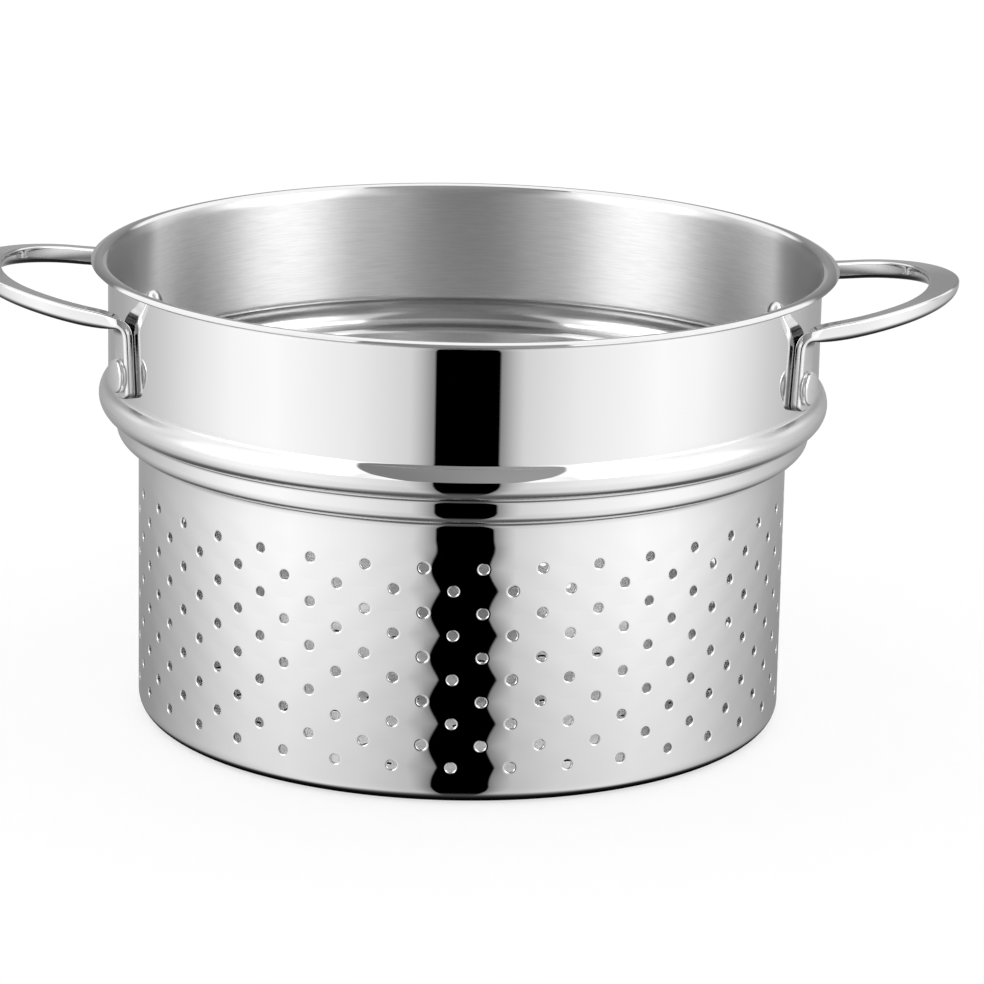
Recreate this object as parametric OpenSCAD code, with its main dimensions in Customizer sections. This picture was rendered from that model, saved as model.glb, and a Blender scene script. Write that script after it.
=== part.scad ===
// Pasta strainer insert: one deep-drawn steel bowl with a punched basket, a stepped collar that
// hangs in the rim of a stock pot, and two loop handles riveted to the collar.
// Millimetres, +Z up, origin on the axis of the bowl where its base meets the worktop.

/* [Bowl] */
// Inside diameter of the collar, which is also the size of the lid that fits it
lid_d = 240; // [200:1:280]
// Thickness of the sheet
wall = 0.8; // [0.6:0.1:1.5]
// Height from the base to the top of the rim
total_h = 158; // [150:1:200]
// Outside diameter of the punched basket
basket_d = 221; // [180:1:222]
// Outside radius where the basket wall turns into the base
base_bend = 6; // [3:0.5:8]

/* [Step and bead] */
// Gap between the short band under the bead and the pot it drops into, measured on the radius
pot_clear = 2; // [1:0.25:4]
// Depth below the top of the rim at which the band starts above the shoulder
band_drop = 57.6; // [57:0.2:60]
// Outside radius of the shoulder under the band
shoulder_bend = 4.2; // [2:0.2:4.4]
// Radius of the hollow where the basket meets the shoulder
step_fillet = 3; // [1.5:0.25:3]
// Depth below the top of the rim of the bead's middle; the bead rests on the pot's rim
bead_drop = 47; // [44:0.2:48]
// How far the bead stands proud of the collar
bead_proud = 3.2; // [2:0.1:4]
// Outside radius of the bead's round section
bead_bend = 6.2; // [5:0.1:6.6]
// Radius of the hollows above and below the bead
bead_fillet = 1.4; // [0.8:0.1:2]

/* [Rim] */
// Outside radius of the flare that makes the pouring rim
rim_bend = 3; // [2.5:0.1:5]
// How far the flare turns past level, in degrees
rim_over = 45; // [0:5:60]

/* [Perforations] */
// Diameter of every drain hole
hole_d = 3.4; // [2:0.1:4.5]
// Number of hole columns round the basket, alternate ones staggered
hole_columns = 72; // [48:2:72]
// Angle of the first column from the front, in degrees
hole_turn = -1; // [-2.5:0.5:2.5]
// Height of the lowest hole row
first_row_z = 12.8; // [10:0.2:14]
// Height between one staggered row and the next
row_pitch = 7.46; // [6:0.02:7.6]
// Number of staggered rows
hole_rows = 10; // [4:1:10]
// Number of hole rings in the base, round the hole in its centre
base_rings = 6; // [2:1:6]
// Distance from one ring of the base to the next
base_ring_pitch = 15; // [10:0.5:15]

/* [Handles] */
// Angle of each handle leg from the handle's middle, in degrees
leg_angle = 24; // [18:0.5:28]
// Angle by which a leg leans towards the handle's middle, in degrees
leg_lean = 7; // [0:0.5:10]
// Width of the pad that is riveted to the collar
pad_w = 11; // [9.5:0.5:13]
// Thickness of the pad
pad_t = 3.2; // [2.4:0.1:4]
// Depth below the top of the rim of the pad's rounded lower end
pad_drop = 38.6; // [36:0.2:40]
// Depth below the top of the rim at which the leg starts to bend away from the collar
bend_drop = 18.8; // [18:0.2:22]
// Radius of the loop along the middle of the bar, seen from above
loop_rad = 45.3; // [40:0.1:50]
// Distance from the collar's outside to the outermost point of the bar's middle
reach = 41.4; // [38:0.1:50]
// Depth of the loop's flat top below the top of the rim, at its outer end
grip_below = 3.8; // [2:0.2:8]
// How much lower the loop is where its round stretch ends
grip_drop = 4.2; // [0:0.2:5]
// Width and thickness of the bar at the grip
grip_w = 10.3; // [8:0.1:13]
grip_t = 5.4; // [3:0.1:6]
// Width and thickness of the bar between grip and pad, where it stays nearly round
neck_w = 5.8; // [5:0.1:9]
neck_t = 6.1; // [3.5:0.1:6.5]

/* [Rivets] */
// Diameter of the shank
rivet_d = 5; // [4:0.1:6]
// Play between the shank and its holes, measured on the radius
rivet_clear = 0.1; // [0.05:0.05:0.2]
// Depth below the top of the rim of the rivet's middle
rivet_drop = 31; // [30:0.1:32]
// Diameter and thickness of the flat head on the outside
head_d = 11.6; // [9:0.1:12.4]
head_t = 2.2; // [1.2:0.1:3]
// Diameter and height of the round head on the inside
dome_d = 13; // [9:0.1:13.6]
dome_h = 2.8; // [1.2:0.1:3.2]

/* [Hidden] */
steel = "silver";
polished = "lightgray";
// Facets of round bores and revolved surfaces
$fn = 96;
// Points along each round stretch of the bowl's outline
bend_steps = 8;
// Gap left where a piece seats on the curved wall
seat = 0.05;
// Length by which a cutter runs past the face it opens
past = 1;

// Heights above the base of what hangs from the rim
band_z = total_h - band_drop;
bead_z = total_h - bead_drop;
pad_z = total_h - pad_drop;
leg_bend_z = total_h - bend_drop;
grip_z = total_h - grip_below;
rivet_z = total_h - rivet_drop;

collar_r = lid_d / 2 + wall;
basket_r = basket_d / 2;
band_r = lid_d / 2 - pot_clear;
bead_r = collar_r + bead_proud - bead_bend;
rim_z = total_h - rim_bend - wall;
rim_side = 90 + rim_over;

// Height between the bead's middle and the middle of a hollow that joins it to a wall of radius r
function hollow_rise(r) = sqrt(pow(bead_bend + bead_fillet, 2) - pow(r + bead_fillet - bead_r, 2));
// Angle above or below level at which the bead meets that hollow
function hollow_angle(r) = acos((r + bead_fillet - bead_r) / (bead_bend + bead_fillet));

// Each bend of the outside face: middle radius, middle height, radius, first and last angle, and
// 1 where the middle lies inside the steel's bulge or -1 where it lies in a hollow
BENDS = [
    [basket_r - base_bend, base_bend, base_bend, -90, 0, 1],
    [basket_r + step_fillet, band_z - shoulder_bend - step_fillet, step_fillet, 180, 90, -1],
    [band_r - shoulder_bend, band_z, shoulder_bend, -90, 0, 1],
    [band_r + bead_fillet, bead_z - hollow_rise(band_r), bead_fillet,
        180, 180 - hollow_angle(band_r), -1],
    [bead_r, bead_z, bead_bend, -hollow_angle(band_r), hollow_angle(collar_r), 1],
    [collar_r + bead_fillet, bead_z + hollow_rise(collar_r), bead_fillet,
        180 + hollow_angle(collar_r), 180, -1],
    [collar_r + rim_bend, rim_z, rim_bend, 180, 180 - rim_side, -1]
];

// Points of one bend, on the outside face or set in from it by part of the sheet's thickness
function bend_points(bend, inset) = [
    for (i = [0:bend_steps])
        let (a = bend[3] + (bend[4] - bend[3]) * i / bend_steps, r = bend[2] - bend[5] * inset)
            [bend[0] + r * cos(a), bend[1] + r * sin(a)]
];
function face_points(inset) = [for (bend = BENDS) each bend_points(bend, inset)];
function reversed(list) = [for (i = [len(list) - 1:-1:0]) list[i]];

module bowl_shell() {
    rotate_extrude()
        polygon(concat([[0, 0]], face_points(0), reversed(face_points(wall)), [[0, wall]]));
}

// Places its children on the collar at an angle and height, their +Z pointing out from the axis
module on_wall(angle, z) {
    rotate([0, 0, angle]) translate([0, 0, z]) rotate([0, 90, 0]) children();
}

module basket_holes() {
    for (column = [0:hole_columns - 1])
        for (row = [column % 2:2:hole_rows - 1])
            on_wall(hole_turn - 90 + column * 360 / hole_columns, first_row_z + row * row_pitch)
                translate([0, 0, basket_r - wall - past])
                    cylinder(h = wall + 2 * past, d = hole_d);
}

module base_holes() {
    translate([0, 0, -past]) {
        cylinder(h = wall + 2 * past, d = hole_d);
        for (ring = [1:base_rings])
            for (i = [0:6 * ring - 1])
                rotate([0, 0, i * 60 / ring])
                    translate([ring * base_ring_pitch, 0, 0])
                        cylinder(h = wall + 2 * past, d = hole_d);
    }
}

module rivet_bore() {
    translate([0, 0, lid_d / 2 - past])
        cylinder(h = wall + pad_t + 3 * past, r = rivet_d / 2 + rivet_clear);
}

module strainer_bowl() {
    color(polished)
        difference() {
            bowl_shell();
            basket_holes();
            base_holes();
            for (side = [0, 180], leg = [-leg_angle, leg_angle])
                on_wall(side + leg, rivet_z) rivet_bore();
        }
}

// Stations along half of the handle's bar. Each is: place of the flat face's middle, direction
// across the bar, width, thickness and radius of the rounded outer edges.
pad_steps = 4;
leg_steps = 12;
loop_steps = 14;
edge_steps = 4;
loop_x = collar_r + reach - loop_rad;
// Angle on the loop, from its outermost point, at which the round stretch ends
loop_end = 66;
pad_corner = 2.6;
pad_edge = 1.3;
grip_edge = 2.8;
top_edge = 0.5;
pad_r = collar_r + seat;
leg_lift = 9.5;
loop_lead = 19;
leg_foot = [pad_r * cos(leg_angle), pad_r * sin(leg_angle)];
leg_level = [-sin(leg_angle), cos(leg_angle), 0];
// A leaning leg runs along leg_run and stays on the rivet's axis
leg_run = [0, 0, cos(leg_lean)] - leg_level * sin(leg_lean);
leg_across = [0, 0, sin(leg_lean)] + leg_level * cos(leg_lean);

function unit(v) = v / norm(v);
function blend(a, b, t) = a + (b - a) * t;
function ease(t) = t * t * (3 - 2 * t);
function cubic(a, b, c, d, t) =
    a * pow(1 - t, 3) + 3 * b * t * pow(1 - t, 2) + 3 * c * t * t * (1 - t) + d * pow(t, 3);

// Middle of the leg at a height
function leg_place(z) =
    [leg_foot[0], leg_foot[1], rivet_z] + leg_run * (z - rivet_z) / cos(leg_lean);

// Rounded lower end of the pad
function pad_station(t) = [
    leg_place(pad_z + pad_corner * (1 - cos(90 * t))), leg_across,
    pad_w - 2 * pad_corner * (1 - sin(90 * t)), pad_t, pad_edge
];

// Round stretch of the loop, t running from where the leg joins it to the outermost point
function loop_place(a) = [
    loop_x + loop_rad * cos(a), loop_rad * sin(a), grip_z - grip_drop * pow(a / loop_end, 2)
];
function loop_station(t) =
    let (a = loop_end * (1 - t), s = ease(max(0, t * 1.25 - 0.25)))
        [loop_place(a), [cos(a), sin(a), 0], blend(neck_w, grip_w, s), blend(neck_t, grip_t, s),
            blend(neck_w / 2 - 0.3, grip_edge, s)];

// Leg and the bend that carries it over from the upright wall to the level loop
joint_place = loop_place(loop_end);
joint_slope = 2 * grip_drop / loop_end * 180 / PI / loop_rad;
joint_back = unit([-sin(loop_end), cos(loop_end), -joint_slope]);
leg_top = leg_place(leg_bend_z);
function leg_station(t) =
    let (
        place = cubic(leg_top, leg_top + leg_run * leg_lift, joint_place + joint_back * loop_lead,
            joint_place, t),
        turn = ease(t),
        across = blend(leg_across, [cos(loop_end), sin(loop_end), 0], turn),
        s = ease(min(1, t * 1.2))
    )
    [place, across, blend(pad_w, neck_w, s), blend(pad_t, neck_t, s),
        blend(pad_edge, neck_w / 2 - 0.3, s)];

half_bar = concat(
    [for (i = [0:pad_steps]) pad_station(i / pad_steps)],
    [for (i = [0:leg_steps]) leg_station(i / leg_steps)],
    [for (i = [1:loop_steps]) loop_station(i / loop_steps)]
);

function flip_y(v) = [v[0], -v[1], v[2]];
function mirrored(s) = [flip_y(s[0]), flip_y(s[1]), s[2], s[3], s[4]];
whole_bar = concat(half_bar, [for (i = [len(half_bar) - 2:-1:0]) mirrored(half_bar[i])]);

// Section of the bar: flat face at height 0 with small corners, rounded edges on the far side
function bar_section(w, t, r) =
    let (e = min(r, w / 2, t - top_edge)) concat(
        [[-w / 2 + top_edge, 0], [-w / 2, -top_edge]],
        [for (i = [0:edge_steps]) let (a = 90 * i / edge_steps)
            [-w / 2 + e - e * cos(a), -t + e - e * sin(a)]],
        [for (i = [0:edge_steps]) let (a = 90 * i / edge_steps)
            [w / 2 - e + e * sin(a), -t + e - e * cos(a)]],
        [[w / 2, -top_edge], [w / 2 - top_edge, 0]]
    );

// Direction of the bar at a station, from its neighbours
function run_at(bar, i) =
    let (a = bar[max(i - 1, 0)][0], b = bar[min(i + 1, len(bar) - 1)][0]) unit(b - a);

// Ring of points at a station. The flat face looks at the wall on the legs and up on the loop.
function ring_at(bar, i) =
    let (
        s = bar[i],
        run = run_at(bar, i),
        across = unit(s[1] - run * (s[1] * run)),
        face = cross(run, across)
    )
    [for (p = bar_section(s[2], s[3], s[4])) s[0] + across * p[0] + face * p[1]];

module swept_bar(bar) {
    rings = [for (i = [0:len(bar) - 1]) ring_at(bar, i)];
    n = len(rings[0]);
    last = len(rings) - 1;
    polyhedron(
        points = [for (ring = rings) each ring],
        faces = concat(
            [[for (j = [0:n - 1]) j]],
            [for (i = [0:last - 1], j = [0:n - 1])
                let (a = i * n + j, b = i * n + (j + 1) % n) each [[a, a + n, b], [b, a + n, b + n]]],
            [[for (j = [n - 1:-1:0]) last * n + j]]
        )
    );
}

module loop_handle() {
    difference() {
        swept_bar(whole_bar);
        for (leg = [-leg_angle, leg_angle])
            on_wall(leg, rivet_z) rivet_bore();
    }
}

module right_handle() {
    color(steel) loop_handle();
}

module left_handle() {
    color(steel) mirror([1, 0, 0]) loop_handle();
}

// Rivet along +Z from the bowl's axis: flat head outside the pad, round head inside the collar
module rivet() {
    head_z = pad_r + pad_t;
    head_edge = 0.7;
    head_crown = 0.3;
    dome_rad = (pow(dome_d / 2, 2) + pow(dome_h, 2)) / (2 * dome_h);
    inner = lid_d / 2;
    translate([0, 0, inner - wall])
        cylinder(h = head_z - inner + 2 * wall, d = rivet_d);
    translate([0, 0, head_z])
        rotate_extrude()
            polygon([
                [0, 0], [head_d / 2 - 0.3, 0], [head_d / 2, 0.3], [head_d / 2, head_t - head_edge],
                for (a = [30, 60, 90])
                    [head_d / 2 - head_edge * (1 - cos(a)), head_t - head_edge * (1 - sin(a))],
                [head_d / 4, head_t + head_crown * 0.75], [0, head_t + head_crown]
            ]);
    intersection() {
        translate([0, 0, inner - dome_h + dome_rad]) sphere(r = dome_rad);
        translate([0, 0, inner - 2 * dome_h]) cylinder(h = 2 * dome_h, d = dome_d);
        rotate([0, 90, 0]) cylinder(h = 2 * dome_d, r = inner - seat, center = true, $fn = 360);
    }
}

module right_front_rivet() {
    color(steel) on_wall(-leg_angle, rivet_z) rivet();
}

module right_back_rivet() {
    color(steel) on_wall(leg_angle, rivet_z) rivet();
}

module left_front_rivet() {
    color(steel) on_wall(180 + leg_angle, rivet_z) rivet();
}

module left_back_rivet() {
    color(steel) on_wall(180 - leg_angle, rivet_z) rivet();
}

strainer_bowl();
right_handle();
left_handle();
right_front_rivet();
right_back_rivet();
left_front_rivet();
left_back_rivet();
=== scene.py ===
# %% [markdown]
# # A pasta strainer insert in polished steel
# The insert is one deep-drawn steel bowl that hangs in the rim of a stock pot. Its basket is punched
# with staggered drain holes, a collar stands above a round bead, and two flat-topped bar handles are
# riveted to the collar. It could be built free by eye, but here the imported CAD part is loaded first.
# It fixes every size, so each piece below is built over its solid, in metres.

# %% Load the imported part
import math
import bpy
import bmesh
from mathutils import Matrix, Vector


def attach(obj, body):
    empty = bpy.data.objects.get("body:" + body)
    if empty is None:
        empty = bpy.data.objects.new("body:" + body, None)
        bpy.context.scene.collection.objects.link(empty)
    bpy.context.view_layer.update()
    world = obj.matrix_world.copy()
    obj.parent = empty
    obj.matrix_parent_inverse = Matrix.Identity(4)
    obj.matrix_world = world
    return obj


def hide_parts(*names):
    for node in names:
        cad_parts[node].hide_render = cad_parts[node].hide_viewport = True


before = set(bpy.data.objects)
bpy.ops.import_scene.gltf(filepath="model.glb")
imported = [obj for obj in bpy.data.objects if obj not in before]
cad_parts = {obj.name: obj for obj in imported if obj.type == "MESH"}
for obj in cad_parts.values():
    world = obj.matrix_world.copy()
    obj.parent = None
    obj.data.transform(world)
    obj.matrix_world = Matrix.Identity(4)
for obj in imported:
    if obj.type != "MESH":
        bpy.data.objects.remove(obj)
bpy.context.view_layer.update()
print("CAD nodes:", sorted(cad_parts))

# %% [markdown]
# The camera stands 1.57 m in front of the bowl's axis and half a metre up, and looks down by about 15
# degrees through a long lens. A Track To constraint could aim it, but the picture is also rolled by
# about one degree, so the three axes of the camera are worked out from its angles and written into
# its matrix.

# %% Camera
MM = 0.001
STAND = (0, -1567.58 * MM, 505.24 * MM)
PITCH, YAW, ROLL = 0.2675, 0.0067, 0.0202
FOCAL_PX, PICTURE_PX = 4734.35, 984
ahead = Vector((math.sin(YAW) * math.cos(PITCH), math.cos(YAW) * math.cos(PITCH), -math.sin(PITCH)))
level = Vector((math.cos(YAW), -math.sin(YAW), 0))
upright = level.cross(ahead)
right = math.cos(ROLL) * level + math.sin(ROLL) * upright
up = -math.sin(ROLL) * level + math.cos(ROLL) * upright
camera = bpy.data.objects.new("camera", bpy.data.cameras.new("camera"))
bpy.context.scene.collection.objects.link(camera)
camera.matrix_world = Matrix.Translation(STAND) @ Matrix((right, up, -ahead)).transposed().to_4x4()
camera.data.lens = FOCAL_PX * camera.data.sensor_width / PICTURE_PX
camera.data.clip_start, camera.data.clip_end = 0.05, 50
bpy.context.scene.camera = camera
print("lens", round(camera.data.lens, 1), "mm")

# %% [markdown]
# ## Writing node trees as formulas
# Shader trees and Geometry Nodes trees are both long chains of small nodes. They could be placed and
# linked one by one, but a formula is easier to read. One class wraps a socket and gives it Python's
# operators, so `1 - mask` adds its own Math node. One function adds any other node: its settings are
# set first, because they decide which sockets it has, and then the values or links of its sockets.

# %% A socket with operators
def grey(tone):
    return (tone, tone, tone, 1)


def add_node(tree, kind, settings=None, inputs=None, out=0):
    """Adds a node and returns its output number `out`. A list of wires fills one socket with them all."""
    node = tree.nodes.new(kind)
    for name, value in (settings or {}).items():
        if name == "stops":
            stops = node.color_ramp.elements
            while len(stops) < len(value):
                stops.new(0.5)
            for stop, (place, tone) in zip(stops, value):
                stop.position, stop.color = place, grey(tone)
        else:
            setattr(node, name, value)
    for name, value in (inputs or {}).items():
        for each in value if isinstance(value, list) else [value]:
            if isinstance(each, Wire):
                tree.links.new(each.socket, node.inputs[name])
            else:
                node.inputs[name].default_value = each
    return Wire(tree, node.outputs[out])


class Wire:
    """An output socket that Python's operators work on. Each operator adds one Math node."""

    def __init__(self, tree, socket):
        self.tree, self.socket = tree, socket

    def output(self, name):
        return Wire(self.tree, self.socket.node.outputs[name])

    def math(self, operation, *values):
        return add_node(self.tree, "ShaderNodeMath", {"operation": operation}, dict(enumerate(values)))

    def __add__(self, other):
        return self.math("ADD", self, other)

    def __radd__(self, other):
        return self.math("ADD", other, self)

    def __sub__(self, other):
        return self.math("SUBTRACT", self, other)

    def __rsub__(self, other):
        return self.math("SUBTRACT", other, self)

    def __mul__(self, other):
        return self.math("MULTIPLY", self, other)

    def __rmul__(self, other):
        return self.math("MULTIPLY", other, self)

    def __truediv__(self, other):
        return self.math("DIVIDE", self, other)

    def __gt__(self, other):
        return self.math("GREATER_THAN", self, other)

    def floor(self):
        return self.math("FLOOR", self)

    def mod(self, other):
        return self.math("FLOORED_MODULO", self, other)

    def sin(self):
        return self.math("SINE", self)

    def cos(self):
        return self.math("COSINE", self)

    def abs(self):
        return self.math("ABSOLUTE", self)

    def largest(self, other):
        return self.math("MAXIMUM", self, other)

    def smooth(self, low, high):
        """0 below low, 1 above high, eased between them."""
        return add_node(self.tree, "ShaderNodeMapRange", {"interpolation_type": "SMOOTHSTEP"},
                        {"Value": self, "From Min": low, "From Max": high})

    def band(self, rise, fall):
        """Rises from 0 to 1 over the pair of values `rise`, and falls to 0 again over `fall`."""
        return self.smooth(*rise) * (1 - self.smooth(*fall))


def parts_of(vector):
    split = add_node(vector.tree, "ShaderNodeSeparateXYZ", inputs={0: vector})
    return split.output("X"), split.output("Y"), split.output("Z")


def vector_of(tree, x=0.0, y=0.0, z=0.0):
    return add_node(tree, "ShaderNodeCombineXYZ", inputs={"X": x, "Y": y, "Z": z})


def from_axis(x, y):
    """Distance from the Z axis."""
    squares = x * x + y * y
    return squares.math("SQRT", squares)


def mix_colours(factor, a, b):
    return add_node(factor.tree, "ShaderNodeMix", {"data_type": "RGBA"}, {0: factor, 6: a, 7: b}, out=2)


print("node helpers ready")

# %% [markdown]
# ## The sizes of the drawn bowl
# A deep-drawn bowl is one sheet of even thickness, so its outside face decides everything: the inside
# face is the same line moved in by the thickness. It could be drawn as a Bezier curve, but arcs keep
# their radii exactly. So the line is a chain of bends with straight stretches between them. Each bend
# is its centre, its radius, its first and last angle, 1 where the steel bulges or -1 where it is
# hollow, and its number of steps.

# %% Sizes and bends, in millimetres
WALL, LID_R, TOTAL_H, BASKET_R = 0.8, 120.0, 158.0, 110.5
COLLAR_R, BAND_R = LID_R + WALL, LID_R - 2.0
BEAD_Z, BEAD_BEND, BEAD_OUT, HOLLOW = TOTAL_H - 47, 6.2, 3.2, 1.4
BEAD_R = COLLAR_R + BEAD_OUT - BEAD_BEND
BAND_Z, SHOULDER, STEP = TOTAL_H - 57.6, 4.2, 3.0
RIM_BEND, RIM_TURN = 3.0, 135
RIM_Z = TOTAL_H - RIM_BEND - WALL
BASE_BEND = 6.0


def hollow_rise(r):
    """How far the small hollow beside the bead lies above or below the bead, where it meets radius r."""
    return math.sqrt((BEAD_BEND + HOLLOW) ** 2 - (r + HOLLOW - BEAD_R) ** 2)


def hollow_angle(r):
    """The angle at which bead and hollow touch."""
    return math.degrees(math.acos((r + HOLLOW - BEAD_R) / (BEAD_BEND + HOLLOW)))


CORNER = [(BASKET_R - BASE_BEND, BASE_BEND, BASE_BEND, -90, 0, 1, 10)]
UPPER = [
    (BASKET_R + STEP, BAND_Z - SHOULDER - STEP, STEP, 180, 90, -1, 8),
    (BAND_R - SHOULDER, BAND_Z, SHOULDER, -90, 0, 1, 9),
    (BAND_R + HOLLOW, BEAD_Z - hollow_rise(BAND_R), HOLLOW, 180, 180 - hollow_angle(BAND_R), -1, 5),
    (BEAD_R, BEAD_Z, BEAD_BEND, -hollow_angle(BAND_R), hollow_angle(COLLAR_R), 1, 14),
    (COLLAR_R + HOLLOW, BEAD_Z + hollow_rise(COLLAR_R), HOLLOW, 180 + hollow_angle(COLLAR_R), 180, -1, 5),
    (COLLAR_R + RIM_BEND, RIM_Z, RIM_BEND, 180, 180 - RIM_TURN, -1, 14),
]
# A stretch longer than STRAIGHT gets a point END_GAP from each end. Points closer than SAME are one.
STRAIGHT, END_GAP, SAME = 1.5, 0.4, 0.01


def outline(bends, inset):
    """Points (r, z) of one face. A point close to each end of a straight stretch keeps its shading flat."""
    line = []
    for r, z, radius, first, last, side, steps in bends:
        angles = [math.radians(first + (last - first) * i / steps) for i in range(steps + 1)]
        reach = radius - side * inset
        arc = [(r + reach * math.cos(a), z + reach * math.sin(a)) for a in angles]
        length = math.dist(line[-1], arc[0]) if line else 0
        if length > STRAIGHT:
            (r0, z0), (r1, z1) = line[-1], arc[0]
            near = END_GAP / length
            line += [(r0 + (r1 - r0) * t, z0 + (z1 - z0) * t) for t in (near, 1 - near)]
        line += [p for p in arc if not line or math.dist(line[-1], p) > SAME]
    return line


print("outside face above the holes:", len(outline(UPPER, 0)), "points")

# %% [markdown]
# ## Finishes
# Polished steel has no colour of its own beyond a light grey, so a finish is told by how rough it is
# and by its faint marks. Every pattern reads Object coordinates, in metres, so it lies where the CAD
# frame says, whatever the mesh.

# %% Tools for finishes
def new_material(name, **constants):
    material = bpy.data.materials.new(name)
    material.use_nodes = True
    shader = material.node_tree.nodes["Principled BSDF"]
    for socket, value in constants.items():
        shader.inputs[socket.replace("_", " ")].default_value = value
    return material, material.node_tree, shader


def feed(tree, shader, **sockets):
    for name, wire in sockets.items():
        tree.links.new(wire.socket, shader.inputs[name.replace("_", " ")])


def place_in_object(tree):
    return add_node(tree, "ShaderNodeTexCoord", out="Object")


def noise(tree, place, scale, detail=2.0, roughness=0.5):
    return add_node(tree, "ShaderNodeTexNoise", {"noise_dimensions": "3D"},
                    {"Vector": place, "Scale": scale, "Detail": detail, "Roughness": roughness}, out=0)


def scaled(place, x, y, z):
    return add_node(place.tree, "ShaderNodeVectorMath", {"operation": "MULTIPLY"}, {0: place, 1: (x, y, z)})


def bump(height):
    """Turns a height in metres into a normal."""
    inputs = {"Height": height, "Strength": 1.0, "Distance": 1.0}
    return add_node(height.tree, "ShaderNodeBump", inputs=inputs)


STEEL = grey(0.80)
print("finish tools ready")

# %% [markdown]
# The outside is polished on a mop until it mirrors the room. It still has a faint ripple: punching
# stretches the sheet at every hole, so each hole sits on a swelling a few hundredths of a millimetre
# high, and a mirror shows that as a jagged edge on every reflection. The swelling is a cosine across
# the columns times a triangle wave up the rows. It could be modelled, but a bump is enough, because
# it is far thinner than the sheet. The mop doesn't reach two places, so they are left rougher: the
# crease between collar and bead towards the handles, and the underside of the lip.

# %% Polished outside
COLUMNS, ROWS, ROW_STEP, FIRST_ROW, TURN = 72, 5, 14.92, 12.8, -1.0
COLUMN_W = 2 * math.pi * BASKET_R / COLUMNS
FIRST_SEAM = math.radians(TURN - 90)
SWELLING, WAVINESS = 0.042 * MM, 0.016 * MM
mirror, tree, shader = new_material("polished outside", Base_Color=STEEL, Metallic=1.0, Roughness=0.05)
place = place_in_object(tree)
x, y, z = parts_of(place)
turn = x.math("ARCTAN2", y, x) - FIRST_SEAM
half_rows = (z - FIRST_ROW * MM) / (ROW_STEP / 2 * MM)
swell = (turn * (COLUMNS / 2)).cos() * (1 - 2 * half_rows.math("PINGPONG", half_rows, 1.0))
punched = z.band((0.004, 0.011), (0.083, 0.090))
mop_marks = noise(tree, scaled(place, 1, 1, 6), 240, 3, 0.6)
soft_wave = noise(tree, place, 26, 1)
height = swell * punched * SWELLING + soft_wave * WAVINESS
crease = z.band((0.1095, 0.1125), (0.117, 0.120)) * x.abs().smooth(0.045, 0.080)
facing_z = parts_of(add_node(tree, "ShaderNodeNewGeometry", out="Normal"))[2]
under_lip = z.smooth(0.1530, 0.1536) * (-1 * facing_z).smooth(0.1, 0.4)
unreached = crease * 0.3 + under_lip * 0.35
feed(tree, shader, Roughness=0.005 + mop_marks * 0.03 + unreached, Normal=bump(height))
clouds = noise(tree, place, 14, 3)
feed(tree, shader, Base_Color=mix_colours(clouds, grey(0.775), grey(0.825)))
print("polished outside:", len(tree.nodes), "nodes")

# %% [markdown]
# Inside a punched hole the metal was torn rather than cut, and no mop gets in, so it is dark and
# dull. The same noise sets its roughness, colour and bump, so that each tear is both lower and
# darker.

# %% Sheared edge of the holes
sheared, tree, shader = new_material("sheared edge", Base_Color=grey(0.4), Metallic=1.0, Roughness=0.4)
torn = noise(tree, scaled(place_in_object(tree), 1, 1, 3), 2400, 2, 0.6)
feed(tree, shader, Roughness=0.3 + torn * 0.25, Normal=bump(torn * (0.01 * MM)))
feed(tree, shader, Base_Color=mix_colours(torn, grey(0.26), grey(0.5)))
print("sheared edge:", len(tree.nodes), "nodes")

# %% [markdown]
# The inside was rubbed with an abrasive pad while the bowl turned, which leaves fine level lines.
# Such lines spread a reflection up and down but hardly sideways, which gives the broad upright bands
# inside the collar. The shader's anisotropy does this: with no tangent linked it runs round the
# object's Z axis, and a quarter turn sets the spread upright. Noise squeezed along Z draws the lines
# themselves in the roughness, the colour and a faint bump. Three zones differ by height or side: the
# bends round the bead and shoulder are smoother, the groove behind the bead is darkened by painted
# shade with a painted highlight on its lower ridge, and the two ends of the bowl beside the handles
# are darkened by painted shade.

# %% Brushed inside
brushed, tree, shader = new_material("brushed inside", Base_Color=STEEL, Metallic=1.0, Roughness=0.4,
                                     Anisotropic=1.0, Anisotropic_Rotation=0.25)
place = place_in_object(tree)
lines = noise(tree, scaled(place, 1, 1, 24), 110, 4, 0.65)
wide_lines = noise(tree, scaled(place, 1, 1, 26), 22, 2, 0.5)
x, _, z = parts_of(place)
bends = z.band((0.092, 0.099), (0.115, 0.119))
spread = (0.28 + lines * 0.10 + wide_lines * 0.04) * (1 - bends * 0.55)
feed(tree, shader, Roughness=spread, Normal=bump(lines * (0.008 * MM)))
pad_marks = mix_colours(lines.smooth(0.3, 0.7), grey(0.71), grey(0.80))
# Painted shade darkens the groove behind the bead, and a painted highlight lightens its lower ridge.
painted_shade_groove = z.band((0.1040, 0.1048), (0.1150, 0.1172))
painted_highlight_ridge = z.band((0.1060, 0.1066), (0.1074, 0.1081))
# Painted shade darkens the two ends of the inside beside the handles.
painted_shade_ends = x.abs().smooth(0.107, 0.112) * 0.8
with_painted_shade = mix_colours(painted_shade_ends, mix_colours(painted_shade_groove, pad_marks, grey(0.5)), grey(0.36))
feed(tree, shader, Base_Color=mix_colours(painted_highlight_ridge, with_painted_shade, grey(0.95)))
print("brushed inside:", len(tree.nodes), "nodes")

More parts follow.
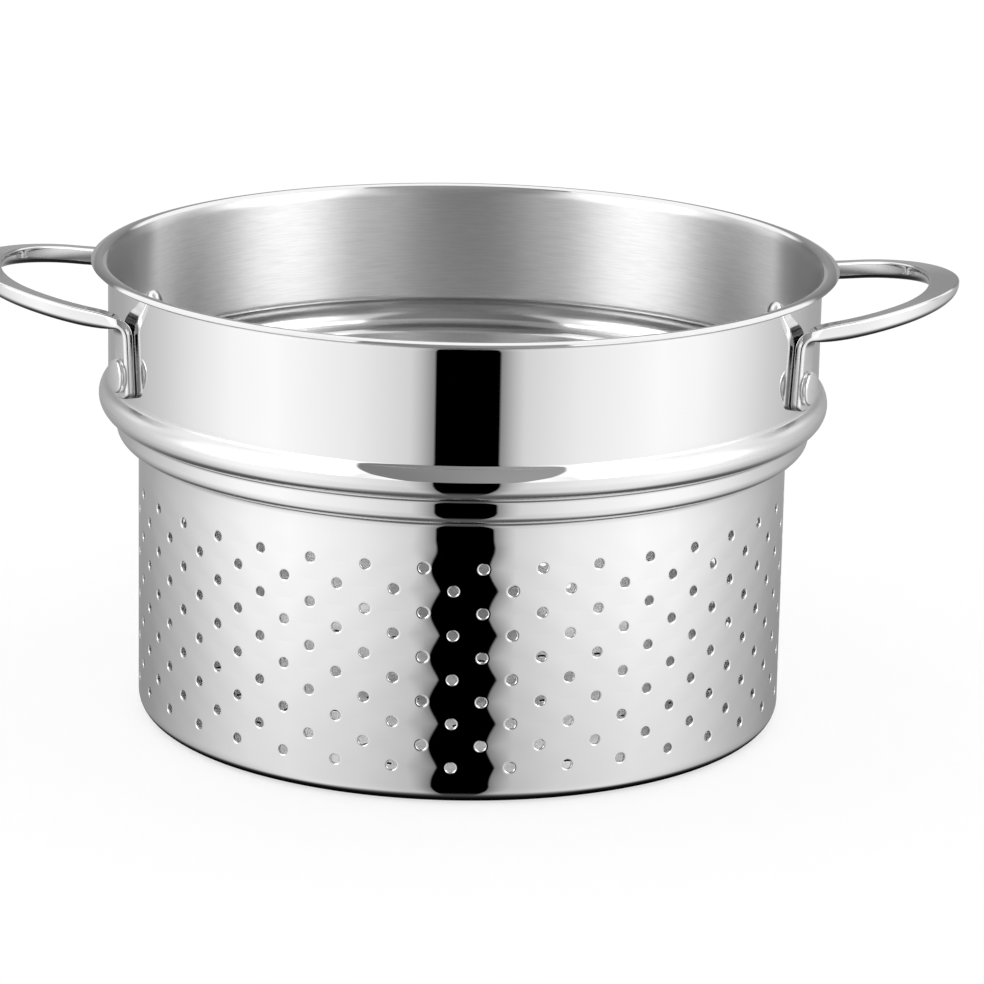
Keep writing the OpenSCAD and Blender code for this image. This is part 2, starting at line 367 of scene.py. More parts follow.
# %% [markdown]
# ## The punched wall
# The wall has 360 holes on a staggered grid. Cutting them with booleans would leave long slivers that
# a mirror finish shows, so one flat tile with its hole is drawn and Geometry Nodes lay it out like
# paving. The tile's hole is rounded over at its outer edge, and the sheet's thickness shows
# inside it. Every second column is half a tile higher, so a plain half tile fills each column at its
# top or bottom. The paving is then bent round the axis.

# %% One tile with its punched hole
HOLE_R, BELOW, RING_POINTS = 1.7, 6.6, 16


def ring_round(radius, depth):
    angles = [math.tau * k / RING_POINTS for k in range(RING_POINTS)]
    return [(radius * math.cos(a), radius * math.sin(a), depth) for a in angles]


def tile_border(depth):
    """Border of the tile in the order of the ring's points, so that the two can be bridged."""
    w, ys = COLUMN_W / 2, [-BELOW + ROW_STEP * i / 4 for i in range(5)]
    right_side = [(w, ys[2]), (w, ys[3]), (w, ys[4])]
    top = [(w / 2, ys[4]), (0, ys[4]), (-w / 2, ys[4]), (-w, ys[4])]
    left_side = [(-w, ys[3]), (-w, ys[2]), (-w, ys[1]), (-w, ys[0])]
    bottom = [(-w / 2, ys[0]), (0, ys[0]), (w / 2, ys[0]), (w, ys[0]), (w, ys[1])]
    return [(x, y, depth) for x, y in right_side + top + left_side + bottom]


def mesh_object(name, points, faces=(), edges=()):
    mesh = bpy.data.meshes.new(name)
    mesh.from_pydata([Vector(p) * MM for p in points], edges, faces)
    made = bpy.data.objects.new(name, mesh)
    bpy.context.scene.collection.objects.link(made)
    return made


def bridged(rings):
    """Faces between rings of equal count, each ring closed."""
    n = len(rings[0])
    return [(i * n + j, (i + 1) * n + j, (i + 1) * n + (j + 1) % n, i * n + (j + 1) % n)
            for i in range(len(rings) - 1) for j in range(n)]


# Rings round the hole: how far out from its edge, and how far down.
ROUNDED_OVER = ((0.8, 0), (0.35, 0), (0.13, 0.06), (0, 0.22))
round_edge = [ring_round(HOLE_R + out, -down) for out, down in ROUNDED_OVER]
rings = [tile_border(0), *round_edge, ring_round(HOLE_R, -WALL), tile_border(-WALL)]
tile = mesh_object("punched_tile", [p for ring in rings for p in ring], [f[::-1] for f in bridged(rings)])
print("one tile:", len(tile.data.polygons), "faces, normal of its border", tile.data.polygons[0].normal[:])

# %% [markdown]
# A Geometry Nodes tree could stay on its object as a live modifier. Here each one is run once and its
# result is kept as a plain mesh, so that an exporter, or a reader, finds ordinary faces. Sizes go in
# through named inputs.

# %% Tools for building a tree and turning its result into a plain mesh
def new_tree(name, **inputs):
    """A Geometry Nodes tree with a geometry input and named size inputs."""
    tree = bpy.data.node_groups.new(name, "GeometryNodeTree")
    tree.interface.new_socket("Geometry", in_out="OUTPUT", socket_type="NodeSocketGeometry")
    tree.interface.new_socket("Geometry", in_out="INPUT", socket_type="NodeSocketGeometry")
    for label, kind in inputs.items():
        tree.interface.new_socket(label.replace("_", " "), in_out="INPUT", socket_type="NodeSocket" + kind)
    return tree, add_node(tree, "NodeGroupInput")


def finish_tree(tree, result):
    out = tree.nodes.new("NodeGroupOutput")
    tree.links.new(result.socket, out.inputs[0])


def grown(host, tree, **values):
    """Runs a tree on a host object and returns the result as a plain mesh. The host is removed."""
    modifier = host.modifiers.new(tree.name, "NODES")
    modifier.node_group = tree
    names = {item.name: item.identifier for item in tree.interface.items_tree if item.in_out == "INPUT"}
    for label, value in values.items():
        modifier[names[label.replace("_", " ")]] = value
    evaluated = host.evaluated_get(bpy.context.evaluated_depsgraph_get())
    mesh = bpy.data.meshes.new_from_object(evaluated)
    host.modifiers.clear()
    bpy.data.objects.remove(host)
    return mesh


def with_material(result, material, selection=None):
    inputs = {"Geometry": result, "Material": material}
    if selection:
        inputs["Selection"] = selection
    return add_node(result.tree, "GeometryNodeSetMaterial", inputs=inputs)


print("tree tools ready")

# %% The paving: tiles and half tiles bent round the axis
SEAM_GAP = 0.01 * MM
tree, given = new_tree("punched wall", Columns="Int", Rows="Int", Column_Width="Float", Row_Step="Float",
                       First_Hole="Float", Radius="Float", Sheet="Float", First_Angle="Float")
columns, rows, width = given.output("Columns"), given.output("Rows"), given.output("Column Width")
step, first = given.output("Row Step"), given.output("First Hole")
index = add_node(tree, "GeometryNodeInputIndex")
column, row = (index / rows).floor(), index.mod(rows)
lift = column.mod(2) * 0.5
hole_points = add_node(tree, "GeometryNodePoints", inputs={
    "Count": columns * rows, "Position": vector_of(tree, column * width, first + (row + lift) * step)})
tiles = add_node(tree, "GeometryNodeInstanceOnPoints", inputs={"Points": hole_points, "Instance": given})
high = 1 - index.mod(2)
half_y = first + (high * rows - BELOW / ROW_STEP + 0.25) * step
half_points = add_node(tree, "GeometryNodePoints", inputs={
    "Count": columns, "Position": vector_of(tree, index * width, half_y)})
outer_half = add_node(tree, "GeometryNodeMeshGrid", inputs={
    "Size X": width, "Size Y": step * 0.5, "Vertices X": 5, "Vertices Y": 3})
inner_half = add_node(tree, "GeometryNodeTransform", inputs={
    "Geometry": add_node(tree, "GeometryNodeFlipFaces", inputs={"Mesh": outer_half}),
    "Translation": vector_of(tree, z=-1 * given.output("Sheet"))})
both_halves = add_node(tree, "GeometryNodeJoinGeometry", inputs={"Geometry": [outer_half, inner_half]})
halves = add_node(tree, "GeometryNodeInstanceOnPoints", inputs={
    "Points": half_points, "Instance": both_halves})
paving = add_node(tree, "GeometryNodeRealizeInstances", inputs={
    "Geometry": add_node(tree, "GeometryNodeJoinGeometry", inputs={"Geometry": [tiles, halves]})})
x, y, z = parts_of(add_node(tree, "GeometryNodeInputPosition"))
angle = x / width * math.tau / columns + given.output("First Angle")
reach = given.output("Radius") + z
bent = add_node(tree, "GeometryNodeSetPosition", inputs={
    "Geometry": paving, "Position": vector_of(tree, reach * angle.cos(), reach * angle.sin(), y)})
merged = add_node(tree, "GeometryNodeMergeByDistance", inputs={"Geometry": bent, "Distance": SEAM_GAP})
x, y, _ = parts_of(add_node(tree, "GeometryNodeInputPosition"))
depth = (given.output("Radius") - from_axis(x, y)) / given.output("Sheet")
in_the_hole, inside = depth > 0.4, depth > 0.9
finished = with_material(with_material(merged, mirror), sheared, in_the_hole)
finish_tree(tree, with_material(finished, brushed, inside))
wall_mesh = grown(tile, tree, Columns=COLUMNS, Rows=ROWS, Column_Width=COLUMN_W * MM,
                  Row_Step=ROW_STEP * MM, First_Hole=FIRST_ROW * MM, Radius=BASKET_R * MM,
                  Sheet=WALL * MM, First_Angle=FIRST_SEAM)
print("punched wall:", len(wall_mesh.polygons), "faces")

# %% [markdown]
# ## The plain stretches
# Above and below the punched wall the bowl is a solid of revolution. A Screw modifier could spin it.
# A tree is used instead, with the steps and the first angle as named inputs, because they have to
# meet the edges of the tiles. It lays out a level grid with one column for each step round the bowl
# and one row for each outline point, then looks up each row's point and swings it round the axis.

# %% Spinning an outline round the axis
tree, given = new_tree("spun sheet", Points="Int", Steps="Int", First_Angle="Float", Finish="Material")
points, steps = given.output("Points"), given.output("Steps")
grid = add_node(tree, "GeometryNodeMeshGrid", inputs={
    "Size X": steps, "Size Y": points - 1, "Vertices X": steps + 1, "Vertices Y": points})
x, y, _ = parts_of(add_node(tree, "GeometryNodeInputPosition"))
place_on_line = add_node(tree, "GeometryNodeSampleIndex", {"data_type": "FLOAT_VECTOR"}, {
    "Geometry": given, "Value": add_node(tree, "GeometryNodeInputPosition"),
    "Index": (y + (points - 1) * 0.5 + 0.5).floor()})
r, _, tall = parts_of(place_on_line)
angle = (x + steps * 0.5 + 0.5).floor() / steps * math.tau + given.output("First Angle")
spun = add_node(tree, "GeometryNodeSetPosition", inputs={
    "Geometry": grid, "Position": vector_of(tree, r * angle.cos(), r * angle.sin(), tall)})
merged = add_node(tree, "GeometryNodeMergeByDistance", inputs={"Geometry": spun, "Distance": SEAM_GAP})
realized = add_node(tree, "GeometryNodeRealizeInstances", inputs={"Geometry": merged})
finish_tree(tree, with_material(realized, given.output("Finish")))
spin_tree = tree
ROUND = COLUMNS * 4
FIRST_STEP = math.radians(TURN - 90 - 180 / COLUMNS)


def spin(name, line, finish):
    host = mesh_object(name, [(r, 0, z) for r, z in line], edges=[(i, i + 1) for i in range(len(line) - 1)])
    return grown(host, spin_tree, Points=len(line), Steps=ROUND, First_Angle=FIRST_STEP, Finish=finish)


foot_of_tiles = FIRST_ROW - BELOW
top_of_tiles = foot_of_tiles + (ROWS + 0.5) * ROW_STEP
PLATE_R = BASKET_R - BASE_BEND - 0.5
POLISHED_LIP = 10
INSIDE_R = BASKET_R - WALL
outer, inner = outline(UPPER, 0), outline(UPPER, WALL)
lip_inside, brushed_inside = inner[-POLISHED_LIP:][::-1], inner[:1 - POLISHED_LIP][::-1]
corner_out, corner_in = outline(CORNER, 0), outline(CORNER, WALL)[::-1]
plain = [
    spin("upper_outside", [(BASKET_R, top_of_tiles)] + outer + lip_inside, mirror),
    spin("upper_inside", brushed_inside + [(INSIDE_R, top_of_tiles)], brushed),
    spin("corner_outside", [(PLATE_R, 0)] + corner_out + [(BASKET_R, foot_of_tiles)], mirror),
    spin("corner_inside", [(INSIDE_R, foot_of_tiles)] + corner_in + [(PLATE_R, WALL)], brushed),
]
print("plain stretches:", sum(len(m.polygons) for m in plain), "faces")

# %% [markdown]
# ## The punched base
# The base is flat, so slivers do no harm there and a filled curve is the simplest way: a circle for
# its edge and a small circle for each hole, which Fill Curve turns into a plate with holes. Rings of
# 6, 12, 18 and more holes stand round the one in the middle, which keeps neighbours about equally far
# apart.

# %% Plate with rings of holes
RINGS, RING_PITCH = 6, 15
tree, given = new_tree("punched base", Plate_Radius="Float", Hole_Radius="Float", Ring_Pitch="Float",
                       Sheet="Float", Steps="Int", First_Angle="Float")
edge = add_node(tree, "GeometryNodeCurvePrimitiveCircle", inputs={
    "Resolution": given.output("Steps"), "Radius": given.output("Plate Radius")})
edge = add_node(tree, "GeometryNodeTransform", inputs={
    "Geometry": edge, "Rotation": vector_of(tree, z=given.output("First Angle"))})
centres = [add_node(tree, "GeometryNodeMeshLine", inputs={"Count": 1})]
for ring in range(1, RINGS + 1):
    centres.append(add_node(tree, "GeometryNodeMeshCircle", inputs={
        "Vertices": 6 * ring, "Radius": given.output("Ring Pitch") * ring}))
centres = add_node(tree, "GeometryNodeJoinGeometry", inputs={"Geometry": centres})
one_hole = add_node(tree, "GeometryNodeCurvePrimitiveCircle", inputs={
    "Resolution": RING_POINTS, "Radius": given.output("Hole Radius")})
holes = add_node(tree, "GeometryNodeInstanceOnPoints", inputs={"Points": centres, "Instance": one_hole})
holes = add_node(tree, "GeometryNodeRealizeInstances", inputs={"Geometry": holes})
plate = add_node(tree, "GeometryNodeFillCurve", inputs={
    "Curve": add_node(tree, "GeometryNodeJoinGeometry", inputs={"Geometry": [edge, holes]})})
under = add_node(tree, "GeometryNodeFlipFaces", inputs={"Mesh": plate})
over = add_node(tree, "GeometryNodeTransform", inputs={
    "Geometry": plate, "Translation": vector_of(tree, z=given.output("Sheet"))})
sides = add_node(tree, "GeometryNodeExtrudeMesh", {"mode": "EDGES"}, {
    "Mesh": add_node(tree, "GeometryNodeCurveToMesh", inputs={"Curve": holes}),
    "Offset": vector_of(tree, z=given.output("Sheet"))})
whole = add_node(tree, "GeometryNodeJoinGeometry", inputs={
    "Geometry": [with_material(under, mirror), with_material(sides, mirror), with_material(over, brushed)]})
whole = add_node(tree, "GeometryNodeMergeByDistance", inputs={"Geometry": whole, "Distance": SEAM_GAP})
finish_tree(tree, whole)
host = mesh_object("base", [(0, 0, 0)])
base_mesh = grown(host, tree, Plate_Radius=PLATE_R * MM, Hole_Radius=HOLE_R * MM, Sheet=WALL * MM,
                  Ring_Pitch=RING_PITCH * MM, Steps=ROUND, First_Angle=FIRST_STEP)
print("punched base:", len(base_mesh.polygons), "faces")

# %% [markdown]
# ## One closed bowl
# The stretches are joined and their seams merged. They could stay separate objects, but a gap as fine
# as a hair shows as a line in a mirror. Two numbers show that the shell is closed and turned the
# right way: no edge may have other than two faces, and its volume must match the sheet metal's, about
# 123 cubic centimetres.

# %% Join, merge and measure
SHEET_CREASE, SOLID_CREASE = math.radians(38), math.radians(50)


def joined(name, meshes, sharp):
    """One smooth-shaded object out of several meshes that share the same materials."""
    finishes = []
    for mesh in meshes:
        finishes += [m for m in mesh.materials if m and m not in finishes]
    work = bmesh.new()
    for mesh in meshes:
        slots = [finishes.index(m) if m else 0 for m in mesh.materials] or [0]
        before = len(work.faces)
        work.from_mesh(mesh)
        work.faces.ensure_lookup_table()
        for face in work.faces[before:]:
            face.material_index = slots[face.material_index]
            face.smooth = True
    bmesh.ops.remove_doubles(work, verts=work.verts, dist=2 * SEAM_GAP)
    loose = sum(1 for e in work.edges if len(e.link_faces) != 2)
    volume = work.calc_volume(signed=True) / MM ** 3
    mesh = bpy.data.meshes.new(name)
    work.to_mesh(mesh)
    work.free()
    for finish in finishes:
        mesh.materials.append(finish)
    mesh.set_sharp_from_angle(angle=sharp)
    made = bpy.data.objects.new(name, mesh)
    bpy.context.scene.collection.objects.link(made)
    triangles = sum(len(p.vertices) - 2 for p in mesh.polygons)
    print(f"{name}: {triangles} triangles, {loose} open edges, {volume:.0f} cubic mm")
    return made


bowl = joined("bowl", [wall_mesh, base_mesh] + plain, SHEET_CREASE)
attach(bowl, "root")
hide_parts("strainer_bowl")

# %% [markdown]
# ## Handles
# Each handle is one steel bar. It stands flat against the collar at its two riveted pads, then bends
# over and twists so that its flat face looks up all round the loop. A curve with a bevel could follow
# that line, but it can only scale its section on the way. So the bar is lofted: a list of stations
# gives place, direction across, width, thickness and edge radii, and a ring of points is drawn at
# each. One half is worked out and mirrored to give the other.

# %% Sizes of the bar
LEG, LEAN = math.radians(24), math.radians(7)
PAD_W, PAD_T, PAD_Z, PAD_END = 11.0, 3.2, TOTAL_H - 38.6, 2.6
NECK_W, NECK_T = 5.8, 6.1
GRIP_W, GRIP_T, GRIP_Z, GRIP_DROP = 10.3, 5.4, TOTAL_H - 3.8, 4.2
PAD_EDGES, NECK_EDGES, GRIP_EDGES = (0.4, 1.6), (0.8, 2.8), (0.6, 4.3)
LEG_BEND_Z, RIVET_Z = TOTAL_H - 18.8, TOTAL_H - 31
LOOP_R, REACH, LOOP_END = 45.3, 41.4, 66.0
PAD_R, LOOP_X = COLLAR_R + 0.05, COLLAR_R + REACH - LOOP_R
LEG_PULL, JOINT_PULL = 9.5, 19


def ease(t):
    return t * t * (3 - 2 * t)


def between(a, b, t):
    return a + (b - a) * t


def loop_place(a):
    """Middle of the loop's flat face, a degrees from the middle of the grip."""
    turned = math.radians(a)
    return Vector((LOOP_X + LOOP_R * math.cos(turned), LOOP_R * math.sin(turned),
                   GRIP_Z - GRIP_DROP * (a / LOOP_END) ** 2))


level_across = Vector((-math.sin(LEG), math.cos(LEG), 0))
leg_run = Vector((0, 0, math.cos(LEAN))) - level_across * math.sin(LEAN)
leg_across = Vector((0, 0, math.sin(LEAN))) + level_across * math.cos(LEAN)


def leg_place(z):
    """Middle of the leaning leg at a height; the lean turns it about the rivet."""
    at_rivet = Vector((PAD_R * math.cos(LEG), PAD_R * math.sin(LEG), RIVET_Z))
    return at_rivet + leg_run * ((z - RIVET_Z) / math.cos(LEAN))


print("loop reaches", round(loop_place(0).x, 2), "mm from the axis")

# %% [markdown]
# The stations run up the leg, then along one Bezier bend from the leg to the loop, then round the
# loop to the middle of the grip. Across each station the face's own direction is given, so the twist
# is spread evenly over the bend.

# %% Stations along the bar
joint = loop_place(LOOP_END)
end_rad = math.radians(LOOP_END)
slope = 2 * GRIP_DROP / end_rad / LOOP_R
joint_back = Vector((-math.sin(end_rad), math.cos(end_rad), -slope)).normalized()
leg_top = leg_place(LEG_BEND_Z)
stations = []
for i in range(8):
    t = math.radians(90 * i / 7)
    stations.append((leg_place(PAD_Z + PAD_END * (1 - math.cos(t))), leg_across,
                     PAD_W - 2 * PAD_END * (1 - math.sin(t)), PAD_T, *PAD_EDGES))
stations.append((leg_place(LEG_BEND_Z - 1), leg_across, PAD_W, PAD_T, *PAD_EDGES))
a, b, c, d = leg_top, leg_top + leg_run * LEG_PULL, joint + joint_back * JOINT_PULL, joint
for i in range(33):
    t = i / 32
    place = a * (1 - t) ** 3 + b * 3 * t * (1 - t) ** 2 + c * 3 * t * t * (1 - t) + d * t ** 3
    across = leg_across.lerp(Vector((math.cos(end_rad), math.sin(end_rad), 0)), ease(t))
    s = ease(min(1, t * 1.2))
    stations.append((place, across, between(PAD_W, NECK_W, s), between(PAD_T, NECK_T, s),
                     *(between(p, q, s) for p, q in zip(PAD_EDGES, NECK_EDGES))))
for i in range(1, 41):
    t = i / 40
    a, s = LOOP_END * (1 - t), ease(max(0, t * 1.25 - 0.25))
    across = Vector((math.cos(math.radians(a)), math.sin(math.radians(a)), 0))
    stations.append((loop_place(a), across, between(NECK_W, GRIP_W, s), between(NECK_T, GRIP_T, s),
                     *(between(p, q, s) for p, q in zip(NECK_EDGES, GRIP_EDGES))))
flip = Vector((1, -1, 1))
stations += [(p * flip, n * flip, *sizes) for p, n, *sizes in stations[-2::-1]]
print(len(stations), "stations from pad to pad")

# %% [markdown]
# A ring of points is drawn at each station. It stands square to the way the bar runs there, which is
# taken from the stations before and after. The ends are closed with one face each, and the left bar
# is the right one with X reversed, so its normals are worked out again.

# %% Lofting the bar
def section(w, t, c, e):
    """Outline across the bar: corners of radius c at the flat face, edges of radius e on the far side."""
    corner = [math.radians(18 * i) for i in range(6)]
    round_edge = [math.radians(90 * i / 7) for i in range(8)]
    half = [(-w / 2 + c - c * math.sin(a), -c + c * math.cos(a)) for a in corner]
    half += [(-w / 2 + e - e * math.cos(a), -t + e - e * math.sin(a)) for a in round_edge]
    half = [(-w / 2 + c + 0.4, 0)] + half
    return half + [(-x, y) for x, y in half[::-1]]


def bar_mesh(side):
    rings, final = [], len(stations) - 1
    for i, (place, across, w, t, c, e) in enumerate(stations):
        run = (stations[min(i + 1, final)][0] - stations[max(i - 1, 0)][0]).normalized()
        across = (across - run * across.dot(run)).normalized()
        face = run.cross(across)
        ring = [place + across * x + face * y for x, y in section(w, t, c, e)]
        rings.append([Vector((p.x * side, p.y, p.z)) for p in ring])
    n = len(rings[0])
    first_cap = tuple(range(n))
    faces = bridged(rings) + [first_cap, tuple(final * n + j for j in first_cap[::-1])]
    host = mesh_object("bar", [p for ring in rings for p in ring], faces)
    work = bmesh.new()
    work.from_mesh(host.data)
    bmesh.ops.recalc_face_normals(work, faces=work.faces)
    mesh = bpy.data.meshes.new("bar")
    work.to_mesh(mesh)
    work.free()
    bpy.data.objects.remove(host)
    return mesh


print("points round the bar:", len(section(GRIP_W, GRIP_T, *GRIP_EDGES)))

# %% [markdown]
# The bar is polished, with a fine grain left on its flat top. The legs are rougher, because the mop
# can't get between them and the collar. The underside and the side towards the collar are coloured
# nearly black as painted shade. They could be faces with a material of their own, but a mask made
# from the normal fades over the round edges.

# %% Polished bar
bar_steel, tree, shader = new_material("polished bar", Base_Color=STEEL, Metallic=1.0, Roughness=0.1)
place = place_in_object(tree)
x, y, z = parts_of(place)
facing_x, facing_y, facing_z = parts_of(add_node(tree, "ShaderNodeNewGeometry", out="Normal"))
flat_top = facing_z.smooth(0.93, 0.985)
# Painted shade: the underside and the side towards the collar are coloured nearly black.
painted_shade_below = (-1 * facing_z).smooth(0.06, 0.50)
inwards = -1 * (facing_x * x + facing_y * y) / from_axis(x, y)
painted_shade_towards_collar = inwards.smooth(0.30, 0.70) * (1 - z.smooth(0.146, 0.150))
grain = noise(tree, place, 900, 3, 0.6)
handling = noise(tree, place, 60, 3, 0.55)
on_legs = 1 - z.smooth(0.132, 0.142)
feed(tree, shader, Roughness=0.05 + handling * 0.04 + flat_top * (0.04 + grain * 0.08) + on_legs * 0.24,
     Normal=bump(noise(tree, place, 90, 0) * (0.01 * MM)))
polished = mix_colours(handling, grey(0.76), grey(0.82))
feed(tree, shader, Base_Color=mix_colours(painted_shade_below.largest(painted_shade_towards_collar), polished, grey(0.09)))
print("polished bar:", len(tree.nodes), "nodes")

# %% Both handles
for name, side in (("right_handle", 1), ("left_handle", -1)):
    mesh = bar_mesh(side)
    mesh.materials.append(bar_steel)
    bar = joined(name + "_bar", [mesh], SOLID_CREASE)
    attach(bar, "root")
    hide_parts(name)

# %% [markdown]
# ## Rivets
# A rivet is one turned shape used four times: a thick flat head with a softened edge outside the pad,
# and a round head closed inside the collar. Its shank is hidden, so the two heads are separate closed
# shapes, one on each side of the wall. Four copies could be placed by hand, but Geometry Nodes set
# them on the legs from two numbers, the height and the angle of a leg, and turn each to point out
# from the bowl.

# %% Outlines of the two heads
HEAD_R, HEAD_T, HEAD_EDGE, HEAD_FOOT, HEAD_CROWN, CROWN_R = 5.8, 2.2, 0.9, 0.3, 0.3, 5.2
DOME_R, DOME_H, TOUCH, HOLLOW_BACK = 6.5, 2.8, 0.001, 0.07
foot = PAD_R + PAD_T
edge_r, edge_z = HEAD_R - HEAD_EDGE, foot + HEAD_T - HEAD_EDGE
edge = [math.radians(a) for a in range(15, 91, 15)]
shrink = [1 - k / 6 for k in range(1, 7)]
head = [(0, foot + TOUCH), (HEAD_R - HEAD_FOOT, foot + TOUCH), (HEAD_R, foot + HEAD_FOOT), (HEAD_R, edge_z)]
head += [(edge_r + HEAD_EDGE * math.cos(a), edge_z + HEAD_EDGE * math.sin(a)) for a in edge]
head += [(CROWN_R * t, foot + HEAD_T + HEAD_CROWN * (1 - t * t)) for t in shrink]
quarter = [math.radians(10 * k) for k in range(10)]
dome = [(DOME_R * math.sin(a), LID_R - DOME_H * math.cos(a)) for a in quarter]
dome += [(DOME_R * k / 3, LID_R - HOLLOW_BACK + 0.005 * k) for k in (2, 1, 0)]
print("outlines:", len(head), "and", len(dome), "points")

# %% Turning an outline round its own axis
def turned(line, steps=36):
    """Points and faces of a shape turned round its own Z axis, where its line starts and ends."""
    angles = [math.tau * k / steps for k in range(steps)]
    points = [(0, 0, line[0][1])]
    for r, z in line[1:-1]:
        points += [(r * math.cos(a), r * math.sin(a), z) for a in angles]
    points.append((0, 0, line[-1][1]))
    last = len(points) - 1
    faces = [(0, 1 + (k + 1) % steps, 1 + k) for k in range(steps)]
    for low in range(1, last - steps, steps):
        high = low + steps
        faces += [(low + k, low + (k + 1) % steps, high + (k + 1) % steps, high + k) for k in range(steps)]
    faces += [(last, last - steps + k, last - steps + (k + 1) % steps) for k in range(steps)]
    return points, faces


head_points, head_faces = turned(head)
dome_points, dome_faces = turned(dome)
shift = len(head_points)
one_rivet = mesh_object("one_rivet", head_points + dome_points,
                        head_faces + [tuple(shift + i for i in f) for f in dome_faces])
print("one rivet:", len(one_rivet.data.polygons), "faces")

# %% [markdown]
# A rivet's head is pressed to shape and hardly polished after. Its outer head is satin, and the round
# one inside is brighter, so one material serves both and tells them apart by their distance from the
# bowl's axis.

# %% Pressed steel and four rivets from one
rivet_steel, tree, shader = new_material("pressed rivet", Base_Color=STEEL, Metallic=1.0, Roughness=0.18)
place = place_in_object(tree)
pressed = noise(tree, place, 300, 2, 0.5)
x, y, _ = parts_of(place)
outer_head = from_axis(x, y) > (LID_R + 0.2) * MM
feed(tree, shader, Roughness=0.06 + outer_head * 0.2 + pressed * 0.1,
     Normal=bump(noise(tree, place, 140, 0) * (0.012 * MM)))
feed(tree, shader, Base_Color=mix_colours(pressed, grey(0.79), grey(0.85)))
tree, given = new_tree("rivets", Height="Float", Leg_Angle="Float", Finish="Material")
index = add_node(tree, "GeometryNodeInputIndex")
angle = (index / 2).floor() * math.pi + (index.mod(2) * 2 - 1) * given.output("Leg Angle")
seats = add_node(tree, "GeometryNodePoints", inputs={
    "Count": 4, "Position": vector_of(tree, z=given.output("Height"))})
placed = add_node(tree, "GeometryNodeInstanceOnPoints", inputs={
    "Points": seats, "Instance": given, "Rotation": vector_of(tree, y=math.pi / 2, z=angle)})
placed = add_node(tree, "GeometryNodeRealizeInstances", inputs={"Geometry": placed})
finish_tree(tree, with_material(placed, given.output("Finish")))
four = grown(one_rivet, tree, Height=RIVET_Z * MM, Leg_Angle=LEG, Finish=rivet_steel)
rivets = joined("rivets", [four], SOLID_CREASE)
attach(rivets, "root")
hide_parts("right_front_rivet", "right_back_rivet", "left_front_rivet", "left_back_rivet")

# %% [markdown]
# ## Studio
# Mirror steel looks like what stands round it, so the room matters as much as the metal. Softboxes
# could be built as lamps and planes, but the world can draw the whole room as a formula, for glossy
# rays only. Its tones change with the angle from the front, alike to both sides, in three layers
# of height. Two softboxes at 50 to 80 degrees are the brightest, behind the object it gets dim, and a
# narrow black gap is open in front, below the camera. A grey panel shaped like a wedge starts below
# the camera and runs up over the object, a white one hangs beyond it, and far below the room is dark.
# The camera sees a white background.

# %% World
world = bpy.data.worlds.new("studio")
bpy.context.scene.world = world
world.use_nodes = True
tree = world.node_tree
tree.nodes.clear()
x, y, z = parts_of(add_node(tree, "ShaderNodeTexCoord", out="Generated"))


def tone_round(direction, stops):
    """A ramp of tones, the same to both sides, whose stops are in degrees from the front."""
    return add_node(direction.tree, "ShaderNodeValToRGB", {"stops": [(a / 180, t) for a, t in stops]},
                    {"Fac": direction.abs() / math.pi})


around = x.math("ARCTAN2", x, -1 * y) - math.radians(1.5)
upward = z.math("ARCTAN2", z, -1 * y)
LEVEL = [(0, 0.0), (9.9, 0.0), (10.3, 0.30), (14.5, 0.60), (18, 0.80), (36, 1.02), (64, 1.20), (80, 1.15),
         (96, 0.98), (112, 0.77), (144, 0.46), (160, 0.40), (180, 0.42)]
MIDDLE = [(0, 0.3), (12, 0.5), (20, 1.3), (34, 1.1), (40, 1.7), (47, 3.2), (54, 4.7), (70, 5.6), (78, 4.4),
          (86, 2.5), (94, 1.4), (104, 0.4), (118, 0.9), (130, 1.3), (142, 0.3), (155, 0.22), (170, 0.30),
          (180, 0.34)]
HIGH = [(0, 1.1), (30, 1.2), (64, 1.9), (90, 1.35), (110, 1.15), (130, 0.95), (145, 0.33), (180, 0.29)]
room = mix_colours(z.smooth(0.13, 0.18), tone_round(around, LEVEL), tone_round(around, MIDDLE))
room = mix_colours(z.smooth(0.45, 0.65), room, tone_round(around, HIGH))
print("side tones:", len(LEVEL), len(MIDDLE), len(HIGH), "stops")

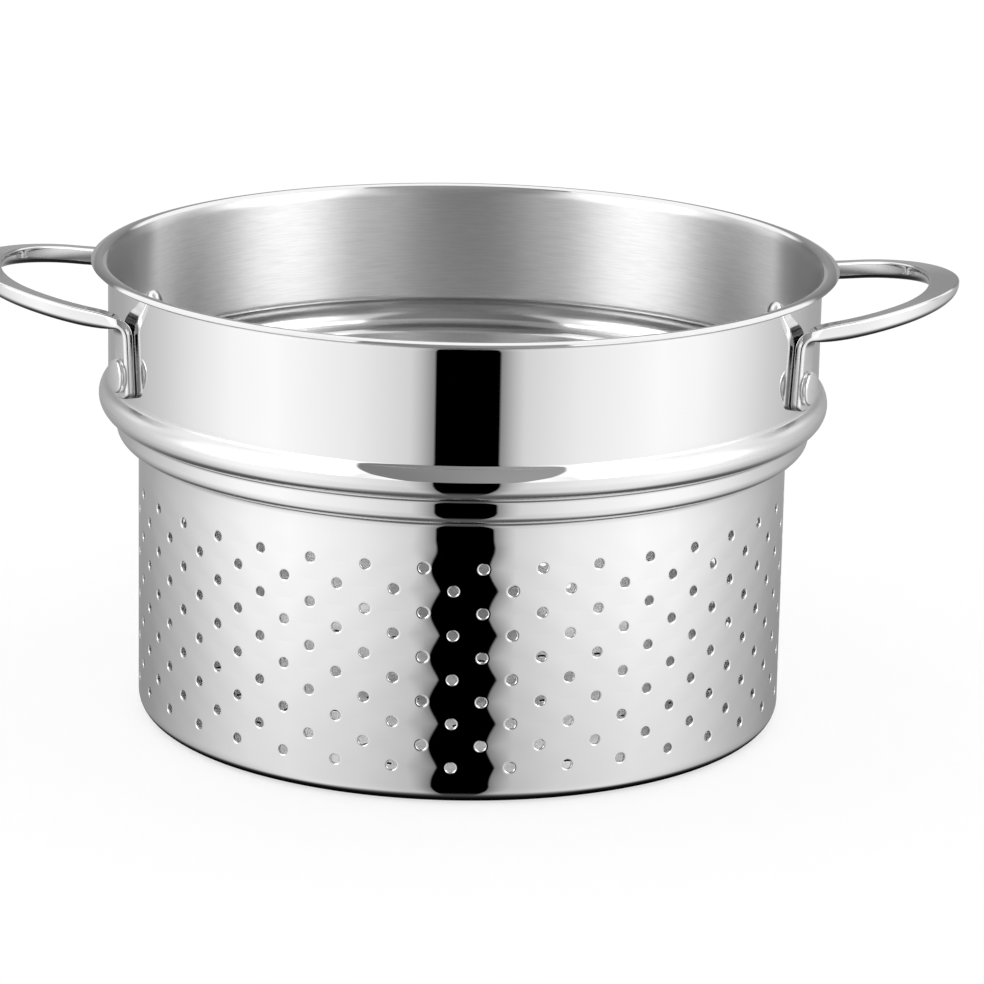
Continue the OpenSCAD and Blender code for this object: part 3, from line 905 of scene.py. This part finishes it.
# %% Overhead panels and the background
overhead = upward.band((1.80, 1.88), (2.60, 2.72)) * (1 - x.abs().smooth(0.5, 0.8))
room = mix_colours(overhead, room, grey(1.15))
beyond = (x.abs() - 0.24).largest(0.0)
above_its_edge = (z - beyond * beyond * 12).smooth(0.12, 0.16)
within_its_sides = (z * 0.31 - y * 0.35 - x.abs()).smooth(-0.012, 0.012)
before_its_end = 1 - upward.smooth(1.80, 1.84)
panel = mix_colours(x.smooth(-0.35, 0.35), grey(0.25), grey(0.38))
room = mix_colours(above_its_edge * within_its_sides * before_its_end, room, panel)
under = (y.largest(0.0) * 0.5 - z).smooth(0.80, 1.0)
room = mix_colours(under, room, grey(0.14))
path = add_node(tree, "ShaderNodeLightPath")
plain_white = mix_colours(path.output("Is Camera Ray"), grey(0.95), grey(1.0))
colour = mix_colours(path.output("Is Glossy Ray"), plain_white, room)
background = add_node(tree, "ShaderNodeBackground", inputs={"Color": colour, "Strength": 1.0})
output = tree.nodes.new("ShaderNodeOutputWorld")
tree.links.new(background.socket, output.inputs["Surface"])
print("studio world:", len(tree.nodes), "nodes")

# %% [markdown]
# The floor is pale and keeps the object's soft shadow. A plain white plane would do for the camera,
# but for the steel it would be a second light. So glossy rays pass through it to the room below,
# dimmed by a painted shadow: a little round the bowl, and almost fully under it, which gives the dark
# line at its foot.

# %% Floor
HALF, GLOW = 9000, 0.64
corners = [(-HALF, -HALF, 0), (HALF, -HALF, 0), (HALF, HALF, 0), (-HALF, HALF, 0)]
floor = mesh_object("floor", corners, [(0, 1, 2, 3)])
floor_paint, tree, shader = new_material(
    "pale floor", Base_Color=grey(0.4), Roughness=1.0, Specular_IOR_Level=0.0)
path = add_node(tree, "ShaderNodeLightPath")
to_camera = path.output("Is Camera Ray") * GLOW
glow = add_node(tree, "ShaderNodeEmission", inputs={"Color": grey(1.0), "Strength": to_camera})
paint = add_node(tree, "ShaderNodeAddShader", inputs={0: Wire(tree, shader.outputs[0]), 1: glow})
x, y, _ = parts_of(place_in_object(tree))
away = from_axis(x, y)
# Painted shadow of the bowl on the floor, seen only in the steel: dimmer round the bowl and almost black
# under it.
painted_floor_shadow = mix_colours(away.smooth(0.09, 0.42), grey(0.76), grey(1.0))
painted_floor_shadow = mix_colours(away.smooth(0.1085, 0.1120), grey(0.02), painted_floor_shadow)
seen_in_steel = add_node(tree, "ShaderNodeBsdfTransparent", inputs={"Color": painted_floor_shadow})
both = add_node(tree, "ShaderNodeMixShader", inputs={
    0: path.output("Is Glossy Ray"), 1: paint, 2: seen_in_steel})
tree.links.new(both.socket, tree.nodes["Material Output"].inputs["Surface"])
floor.data.materials.append(floor_paint)
print("floor laid")

# %% [markdown]
# ## Finish
# The Standard view keeps colours as they are written.

# %% Finish
bpy.context.scene.view_settings.view_transform = "Standard"
